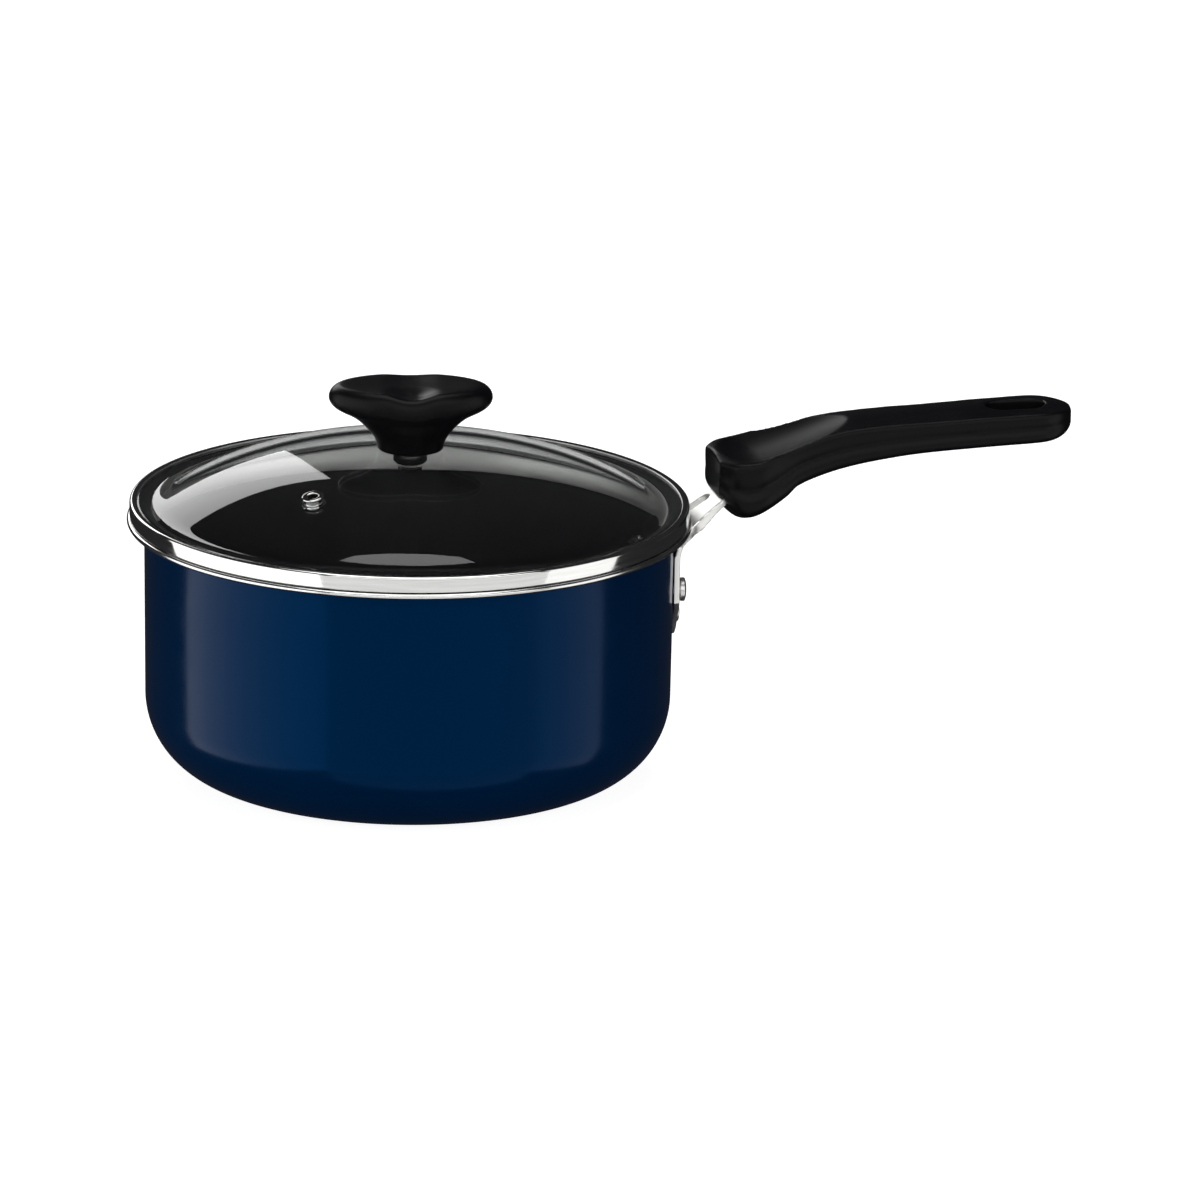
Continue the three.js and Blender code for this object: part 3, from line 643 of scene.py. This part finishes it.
def screwPiece(name, node, radius, headRadius, headHeight, shankLength, point, axis):
    top = headHeight * 0.45
    outline = [(headRadius * 0.1, -headHeight + 0.02)]
    outline += bend(0, -top, headRadius, headHeight - top, -84, 0, 10)
    outline += [(headRadius, -0.15), (headRadius - 0.15, 0), (radius + 0.2, 0), (radius, 0.2)]
    pitch = 1
    for k in range(int(shankLength / pitch) - 1):  # shallow thread
        base = (1.5 + k) * pitch
        outline += [(radius, base), (radius - 0.18, base + pitch / 2)]
    outline += [(radius, shankLength - 0.4), (radius - 0.4, shankLength)]
    piece = turned(name, outline, 48)
    for turn in (0, 90):
        deselectAll()
        bpy.ops.mesh.primitive_cube_add(size=1, location=(0, 0, -headHeight * mm))
        blade = bpy.context.object
        blade.scale = (headRadius * 1.05 * mm, headRadius * 0.22 * mm, headHeight * 1.1 * mm)
        blade.rotation_euler.z = math.radians(turn)
        settle(blade)
        cutWith(piece, blade)
    stand(piece, point, axis)
    paint(piece, polishedSteel)
    dress(piece, "pan" if node == "handle_screw" else "lid", [node])


def washerPiece(name, node, body, inner, outer, thickness, point, axis, material):
    edge = 0.12
    low, high = -thickness / 2, thickness / 2
    outline = [(inner, low + edge), (inner + edge, low), (outer - edge, low), (outer, low + edge)]
    outline += [(outer, high - edge), (outer - edge, high), (inner + edge, high), (inner, high - edge)]
    piece = turned(name, outline, 64, hollow=True)
    stand(piece, point, axis)
    paint(piece, material)
    dress(piece, body, [node])


def paintCad(node, material):
    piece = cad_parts[node]
    piece.data.materials.clear()
    piece.data.materials.append(material)


handleFixings = {"radius": 2.5, "head": 4.2, "headHeight": 2.2, "washer": 1.2, "bore": 2.9, "gap": 0.3}


def makeHandleFixings():
    size = handleFixings
    at = middle("handle_washer")
    washerPiece(
        "handle_washer_ring", "handle_washer", "pan", size["bore"], size["head"], size["washer"],
        at, screwTilt, polishedSteel,
    )
    headTop = at - screwTilt * (size["washer"] / 2 + size["gap"]) * mm
    low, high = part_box("handle_screw")
    length = ((high.z - headTop.z) / mm - abs(screwTilt.x) * size["radius"]) / screwTilt.z
    screwPiece(
        "handle_screw_turned", "handle_screw", size["radius"], size["head"], size["headHeight"],
        length, headTop, screwTilt,
    )
    paintCad("handle_nut", polishedSteel)


makeHandleFixings()
print("handle fixings made")


lidSizes = {
    "thickness": 3.5,
    "rise": 18.9,
    "power": 2.6,
    "flange": 8.8,
    "shoulderBlend": 3,
    "edgeRadius": 1.2,
    "centreHole": 4.1,
    "ventHole": 2.9,
    "bandInset": 0.9,
    "sheet": 0.5,
    "lip": 2.7,
    "bead": 0.35,
    "topRadius": 0.9,
    "skirtClearance": 1.3,
    "skirtLean": 1.5,  # its lower edge inside its upper one
    "rimGap": 0.3,
    "snug": 0.15,
    "sealThickness": 0.5,
    "sealWidth": 6.5,
}
bandLow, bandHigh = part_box("lid_band")[0].z / mm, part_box("lid_band")[1].z / mm
glassLow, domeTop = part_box("lid_glass")[0].z / mm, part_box("lid_glass")[1].z / mm
glassEdgeTop = glassLow + lidSizes["thickness"]
bandRadius = rimRadius - lidSizes["bandInset"]
sealRadius = bandRadius - lidSizes["sheet"] - lidSizes["snug"]
glassRadius = sealRadius - lidSizes["sealThickness"] - lidSizes["snug"]
shoulder = glassRadius - lidSizes["flange"]


def domeSlope(radius):
    return lidSizes["power"] * lidSizes["rise"] * (radius / shoulder) ** (lidSizes["power"] - 1) / shoulder


def domeHeight(radius):  # the glass's upper face, blended into its flat edge
    blend = lidSizes["shoulderBlend"]
    if radius < shoulder - blend:
        return glassEdgeTop + lidSizes["rise"] * (1 - (radius / shoulder) ** lidSizes["power"])
    out = min(radius, shoulder + blend)
    start = glassEdgeTop + lidSizes["rise"] * (1 - ((shoulder - blend) / shoulder) ** lidSizes["power"])
    return glassEdgeTop + (start - glassEdgeTop) * ((shoulder + blend - out) / (2 * blend)) ** 2


def glassUnderside(radius):
    slope = (domeHeight(radius) - domeHeight(radius + 0.5)) / 0.5
    return max(domeHeight(radius) - lidSizes["thickness"] * math.hypot(1, slope), glassLow)


def makeGlass():
    size = lidSizes
    hole = size["centreHole"]
    radii = [hole + (shoulder - size["shoulderBlend"] - hole) * (i / 24) ** 0.8 for i in range(25)]
    radii += [shoulder + size["shoulderBlend"] * (i / 4 - 1) for i in range(1, 9)]
    edge = size["edgeRadius"]
    outline = [(r, domeHeight(r)) for r in radii]
    outline += bend(glassRadius - edge, glassEdgeTop - edge, edge, edge, 90, 0, 5)
    outline += bend(glassRadius - edge, glassLow + edge, edge, edge, 0, -90, 5)
    outline += [(r, glassUnderside(r)) for r in reversed(radii)]
    piece = turned("lid_dome", outline, 192, hollow=True)
    cutWith(piece, stand(rod("vent_hole", size["ventHole"], -12, 12), ventPoint, ventAxis))
    paint(piece, clearGlass)
    dress(piece, "lid", ["lid_glass"], smooth=50)
    piece.visible_shadow = False  # light reaches what is under it


ventShape = {
    "bore": 2,
    "wall": 0.6,
    "flange": 3.7,
    "flangeHeight": 0.8,
    "washer": 4.1,
    "washerHeight": 0.8,
    "gap": 0.3,
}
ventPlate = middle("vent_washer")
ventBearing = math.atan2(ventPlate.y, ventPlate.x)
ventOffset = math.hypot(ventPlate.x, ventPlate.y) / mm + 1.6
ventTilt = math.atan(domeSlope(ventOffset))
ventAxis = Vector((
    math.sin(ventTilt) * math.cos(ventBearing),
    math.sin(ventTilt) * math.sin(ventBearing),
    math.cos(ventTilt),
))
ventLift = ventShape["gap"] + ventShape["flange"] ** 2 / (2 * glassRadius)
ventDepth = lidSizes["thickness"] + ventLift + ventShape["washerHeight"] / 2
ventPoint = ventPlate + ventAxis * ventDepth * mm


def makeVent():
    size = ventShape
    tube = size["bore"] + size["wall"]
    under = -lidSizes["thickness"] - ventLift - size["washerHeight"]
    roll = size["wall"] / 2
    rolled = under - size["gap"]
    outline = [(size["bore"], rolled), (size["bore"] + 0.2, rolled - size["wall"])]
    outline += bend(tube, rolled - roll, roll, roll, -90, 90, 6)
    outline += [(tube, under - 0.1), (tube, ventLift)]
    edge = size["flangeHeight"] / 2
    outline += bend(size["flange"] - edge, ventLift + edge, edge, edge, -90, 90, 10)
    outline += bend(size["bore"] + edge, ventLift + edge, edge, edge, 90, 180, 6)
    piece = turned("vent_ring", outline, 64, hollow=True)
    stand(piece, ventPoint, ventAxis)
    paint(piece, polishedSteel)
    dress(piece, "lid", ["vent_eyelet"])
    washerPiece(
        "vent_backing", "vent_washer", "lid", tube + 0.15, size["washer"], size["washerHeight"],
        ventPlate, ventAxis, polishedSteel,
    )


def makeBand():
    size = lidSizes
    sheet, bead = size["sheet"], size["bead"]
    bottom = rimTop + size["rimGap"]
    wall = bandRadius - sheet
    skirt = panShell["mouthRadius"] - size["skirtClearance"]
    lipUnder = bandHigh - sheet
    beadAt = (bandRadius - size["lip"] + bead, lipUnder - bead + sheet - bead * 0.3)
    outline = bend(*beadAt, bead, bead, 250, 90, 8)
    outline.reverse()
    turn = size["topRadius"]
    top = bend(bandRadius - turn, bandHigh - turn, turn, turn, 0, 90, 10)
    lower = bend(bandRadius - 0.5, bottom + 0.5, 0.5, 0.5, -90, 0, 5)
    neck = bend(skirt + 0.6, bottom - 0.6, 0.6, 0.6, 180, 90, 5)
    hem = bend(skirt - size["skirtLean"] - sheet / 2, bandLow + sheet / 2, sheet / 2, sheet / 2, -180, 0, 8)
    inside = [(skirt - sheet, bottom + sheet - 1.1)]
    inside += bend(skirt + 0.6, bottom + sheet - 1.1, 1.1, 1.1, 180, 90, 5)
    path = hem + neck + lower + top + outline
    path += [(wall - 0.05, lipUnder), (wall, lipUnder - 0.05), (wall, bottom + sheet), (wall - 0.2, bottom + sheet)]
    path += list(reversed(inside))
    piece = turned("lid_ring", path, 192, hollow=True)

    def finish(at, facing):  # the skirt and the inside are duller
        return 1 if at.z < bottom - 0.3 or facing.x * at.x + facing.y * at.y < -20 else 0

    paint(piece, polishedSteel, satinSteel, choose=finish)
    dress(piece, "lid", ["lid_band"], smooth=40)


def makeSeal():
    size = lidSizes
    low = glassLow - size["snug"] - size["sealThickness"]
    wall = sealRadius - size["sealThickness"]
    inner = sealRadius - size["sealWidth"]
    high = low + size["sealThickness"]
    outline = [(sealRadius, low), (sealRadius, glassEdgeTop - 0.1), (sealRadius - 0.1, glassEdgeTop)]
    outline += [(wall, glassEdgeTop), (wall, high)]
    outline += bend(inner + 0.25, low + 0.25, 0.25, 0.25, 90, 270, 6)
    piece = turned("lid_gasket", outline, 160, hollow=True)
    paint(piece, blackRubber)
    dress(piece, "lid", ["lid_seal"])


# The outline is the knob's half-length at shares of its height. Its foot is round, and its head is long.
knobShape = {
    "outline": [
        (0, 0.37), (0.012, 0.4), (0.06, 0.41), (0.14, 0.425), (0.23, 0.46), (0.32, 0.52), (0.4, 0.585),
        (0.47, 0.65), (0.54, 0.735), (0.59, 0.83), (0.64, 0.92), (0.71, 0.98), (0.79, 1.005), (0.87, 0.995),
        (0.94, 0.96), (0.985, 0.905), (1.0, 0.85), (0.995, 0.72), (0.985, 0.5), (0.98, 0.3), (0.98, 0.1),
    ],
    "halfLength": 28.3,
    "halfDepth": 17,
    "valley": 0.6,
    "valleyFront": 1.4,
    "valleyReach": 10,
    "insertHole": 4.4,
    "insertDepth": 10.3,
    "turn": -10,  # from the handle's direction
    "footTop": 0.2,  # share of the height where the section starts to lengthen
    "turnOver": 0.55,  # share of the height that it takes
}


def makeKnob():
    size = knobShape
    low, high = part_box("lid_knob")[0].z / mm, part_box("lid_knob")[1].z / mm
    tall = high - low
    facets = 48
    deselectAll()
    bpy.ops.mesh.primitive_circle_add(vertices=facets, radius=mm, location=(0, 0, low * mm))
    piece = bpy.context.object
    piece.name = "knob_moulding"
    settle(piece)
    editVertices(piece)
    level, long, deep = low, 1, 1
    for i, (height, share) in enumerate(size["outline"]):
        nextLevel = low + height * tall
        rise = {"value": (0, 0, (nextLevel - level) * mm)}
        if i:
            bpy.ops.mesh.extrude_region_move(TRANSFORM_OT_translate=rise)
        out = min(max((height - size["footTop"]) / size["turnOver"], 0), 1)
        flat = 1 + (size["halfDepth"] / size["halfLength"] - 1) * out * out * (3 - 2 * out)
        nextLong = share * size["halfLength"]
        nextDeep = nextLong * flat
        centre = (0, 0, nextLevel * mm)
        bpy.ops.transform.resize(value=(nextLong / long, nextDeep / deep, 1), center_override=centre)
        level, long, deep = nextLevel, nextLong, nextDeep
    pole()
    editVertices(piece, lambda i, at: i < facets)
    pole()
    bpy.ops.mesh.select_all(action="SELECT")
    bpy.ops.mesh.normals_make_consistent(inside=False)
    deselectAll()
    modify(piece, "SUBSURF", levels=2, render_levels=2)
    upper = low + 0.85 * tall
    reach = size["valleyReach"] * mm
    for depth, furthest in ((size["valley"], 1e3), (size["valleyFront"], -9)):
        editVertices(piece, lambda i, at: abs(at.x) < 1.2 and at.z > upper and at.y < furthest)
        bpy.ops.transform.translate(
            value=(0, 0, -depth * mm),
            use_proportional_edit=True,
            proportional_edit_falloff="SMOOTH",
            proportional_size=reach,
        )
        deselectAll()
    cutWith(piece, rod("insert_hole", size["insertHole"], low - 2, low + size["insertDepth"]))
    piece.rotation_euler.z = math.radians(size["turn"])
    settle(piece)
    paint(piece, blackPhenolic)
    dress(piece, "lid", ["lid_knob"], smooth=45)


knobFixings = {
    "grommet": 5.8,
    "flange": 2.4,
    "soft": 0.4,
    "bore": 2.9,
    "sleeve": 3.8,
    "washer": 4.9,
    "screw": 2.5,
    "head": 4.1,
    "headHeight": 2,
    "gap": 0.3,
}


def makeKnobFixings():
    size = knobFixings
    low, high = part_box("knob_grommet")[0].z / mm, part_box("knob_grommet")[1].z / mm
    flangeTop, soft = low + size["flange"], size["soft"]
    outline = bend(size["grommet"] - soft, low + soft, soft, soft, -90, 0, 4)
    outline = [(size["bore"], low)] + outline
    outline += bend(size["grommet"] - soft, flangeTop - soft, soft, soft, 0, 90, 4)
    outline += [(size["sleeve"], flangeTop), (size["sleeve"], high - 0.2), (size["sleeve"] - 0.2, high)]
    outline += [(size["bore"], high)]
    piece = turned("knob_cushion", outline, 64, hollow=True)
    paint(piece, blackRubber)
    dress(piece, "lid", ["knob_grommet"])
    washerLow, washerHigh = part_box("knob_washer")
    washerPiece(
        "knob_washer_ring", "knob_washer", "lid", size["bore"], size["washer"],
        (washerHigh.z - washerLow.z) / mm, middle("knob_washer"), (0, 0, 1), polishedSteel,
    )
    headTop = washerLow.z - size["gap"] * mm
    length = (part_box("knob_screw")[1].z - headTop) / mm
    screwPiece(
        "knob_screw_turned", "knob_screw", size["screw"], size["head"], size["headHeight"],
        length, (0, 0, headTop), (0, 0, 1),
    )
    paintCad("knob_insert", turnedBrass)


makeGlass()
makeVent()
makeBand()
makeSeal()
makeKnob()
makeKnobFixings()
print("lid made")


# Bearings go round the object from the camera, in degrees: 90 is to the camera's right, and 180 is behind.
camera = {
    "azimuth": -13,
    "elevation": 16.16,
    "roll": 0.85,
    "lens": 346,
    "place": (66.9, 57.9, -4000),  # right, up and forward of the base, along the camera's own axes
}


def makeCamera():
    turn, lift = math.radians(camera["azimuth"]), math.radians(camera["elevation"])
    right = Vector((math.cos(turn), math.sin(turn), 0))
    ahead = Vector((-math.sin(turn) * math.cos(lift), math.cos(turn) * math.cos(lift), -math.sin(lift)))
    up = right.cross(ahead)
    lean = math.radians(camera["roll"])
    leaned = right * math.cos(lean) + up * math.sin(lean)
    upright = up * math.cos(lean) - right * math.sin(lean)
    made = bpy.data.objects.new("camera", bpy.data.cameras.new("camera"))
    bpy.context.scene.collection.objects.link(made)
    made.data.lens = camera["lens"]
    made.data.sensor_width = 36
    made.data.clip_start, made.data.clip_end = 0.1, 50
    across, above, along = camera["place"]
    made.location = (leaned * across + upright * above + ahead * along) * mm
    axes = Matrix((leaned, upright, -ahead)).transposed()
    made.rotation_euler = axes.to_euler()
    bpy.context.scene.camera = made


def around(bearing, distance, height):
    angle = math.radians(bearing + camera["azimuth"])
    return Vector((math.sin(angle) * distance, -math.cos(angle) * distance, height))


# Each light: bearing, distance, middle height, width, tall, and the brightness of its face.
lights = {
    "leftSoftbox": (-72, 1.3, 0, 2, 1.6, 1.5),
    "frontPanel": (12, 1.3, -0.78, 2.75, 1.6, 0.8),
    "rightSoftbox": (75, 1.3, 0, 0.8, 1.6, 1.15),
    "frontTop": (12, 1.3, 0.75, 2.4, 1.1, 1.3),
    "overhead": (0, 0.1, 1.5, 1.2, 1.2, 2.4),
    "backCard": (-157, 1.5, 0.68, 0.8, 0.6, 2.4),
    "backSpot": (180, 1.2, 1.35, 0.6, 0.4, 24),
}


def makeLights():
    for name, (bearing, distance, height, wide, tall, glow) in lights.items():
        data = bpy.data.lights.new(name, "AREA")
        data.shape = "RECTANGLE"
        data.size, data.size_y = wide, tall
        data.energy = glow * math.pi * wide * tall
        lamp = bpy.data.objects.new(name, data)
        bpy.context.scene.collection.objects.link(lamp)
        lamp.location = around(bearing, distance, height)
        aim = Vector((0, 0, 0.08)) - lamp.location
        if name not in ("overhead", "backSpot"):
            aim.z = 0
        lamp.rotation_euler = aim.to_track_quat("-Z", "Y").to_euler()
        lamp.visible_camera = False
        lamp.visible_glossy = name != "backSpot"
        lamp.visible_transmission = name not in ("backCard", "backSpot", "overhead")


def makeFloor():
    deselectAll()
    bpy.ops.mesh.primitive_plane_add(size=14, location=(0, 0, -0.2 * mm))
    floor = bpy.context.object
    floor.name = "floor"
    material, tree, shader = newMaterial(
        "whiteTable", Roughness=0.8, Emission_Color=(1, 1, 1, 1), Emission_Strength=0.93
    )
    place = objectPlace(tree)
    clouds = noise(tree, place, 3, 2)
    tint = ramp(tree, clouds.outputs["Fac"], [(0.3, 0.3), (0.7, 0.32)])
    tree.links.new(tint, shader.inputs["Base Color"])
    paint(floor, material)
    floor.visible_diffuse = False
    floor.visible_glossy = False
    floor.visible_shadow = False


def makeWorld():
    world = bpy.data.worlds.new("studio")
    bpy.context.scene.world = world
    world.use_nodes = True
    tree = world.node_tree
    background = tree.nodes["Background"]
    background.inputs["Color"].default_value = (0.02, 0.02, 0.021, 1)
    white = tree.nodes.new("ShaderNodeBackground")
    white.inputs["Color"].default_value = (1, 1, 1, 1)
    which = tree.nodes.new("ShaderNodeLightPath")
    mix = tree.nodes.new("ShaderNodeMixShader")
    tree.links.new(which.outputs["Is Camera Ray"], mix.inputs["Fac"])
    tree.links.new(background.outputs["Background"], mix.inputs[1])
    tree.links.new(white.outputs["Background"], mix.inputs[2])
    tree.links.new(mix.outputs["Shader"], tree.nodes["World Output"].inputs["Surface"])


makeCamera()
makeLights()
makeFloor()
makeWorld()
bpy.context.scene.view_settings.view_transform = "Standard"
print("studio made")
